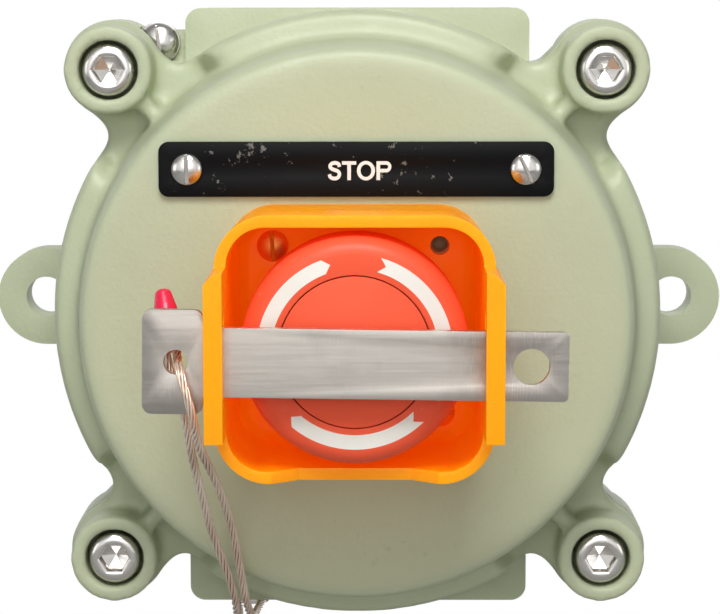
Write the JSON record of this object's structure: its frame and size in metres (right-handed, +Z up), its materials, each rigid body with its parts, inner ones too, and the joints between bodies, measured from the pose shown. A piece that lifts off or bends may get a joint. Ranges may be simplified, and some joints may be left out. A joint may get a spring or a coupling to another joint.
{
  "type": "emergency stop station",
  "caption": "Wall-mounted round cast emergency stop station: red turn-to-release mushroom button in an orange slotted guard, with a steel lock bar on a wire lanyard.",
  "frame": {"origin": "centre of the wall face, on the button's axis", "axes": "+Z up, the button faces -Y, +Y points out of the wall face into the wall"},
  "size_m": [0.1488, 0.1, 0.1222],
  "materials": {
    "casting_paint": "satin green stoving paint on cast aluminium",
    "bright_steel": "bright zinc or stainless",
    "bar_steel": "brushed stainless, scratched",
    "spring_steel": "drawn wire",
    "legend_black": "black lacquered plate",
    "guard_orange": "moulded, semi-gloss",
    "button_red": "moulded, semi-gloss",
    "sleeve_red": "shrunk tube",
    "seal_black": "nitrile rubber",
    "block_plastic": "moulded thermoset",
    "turned_brass": "turned",
    "rope_steel": "stranded wire rope"
  },
  "bodies": {
    "station": {"enclosure_body": "casting_paint", "cover": "casting_paint", "cover_seal": "seal_black", "cover_screws": "bright_steel", "cover_screw_washers": "bright_steel", "earth_screw": "bright_steel", "earth_washer": "bright_steel", "inner_earth_screw": "turned_brass", "legend_plate": "legend_black", "legend_plate_screws": "bright_steel", "button_guard": "guard_orange", "guard_screws": "bright_steel", "actuator_bush": "turned_brass", "bush_seal": "seal_black", "bush_locknut": "turned_brass", "return_spring": "spring_steel", "contact_base": "block_plastic", "contact_block": "block_plastic", "fixed_contacts": "turned_brass", "terminal_screws": "bright_steel", "contact_block_screws": "bright_steel", "contact_spring": "spring_steel", "lanyard_rope": "rope_steel", "lanyard_anchor": "bright_steel"},
    "plunger": {"actuator_shaft": "bright_steel", "shaft_clip": "spring_steel", "contact_carrier": "block_plastic", "contact_bridge": "turned_brass"},
    "head": {"mushroom_head": "button_red", "head_cap": "button_red"},
    "lock_bar": {"lock_bar": "bar_steel", "lanyard_sleeve": "sleeve_red"}
  },
  "joints": [
    {"name": "button_press", "type": "slide", "parent": "station", "child": "plunger", "axis": [0, 1, 0], "range_m": [0, 0.0055], "stiffness_N_per_m": 1200, "deforming": ["return_spring", "contact_spring"]},
    {"name": "head_turn", "type": "hinge", "parent": "plunger", "child": "head", "pos_m": [0, -0.085, 0], "axis": [0, 1, 0], "range_deg": [0, 45], "stiffness_Nm_per_rad": 0.15},
    {"name": "lock_bar_slide", "type": "slide", "parent": "station", "child": "lock_bar", "axis": [-0.9999, 0, 0.014], "range_m": [0, 0.058], "deforming": ["lanyard_rope"]}
  ]
}
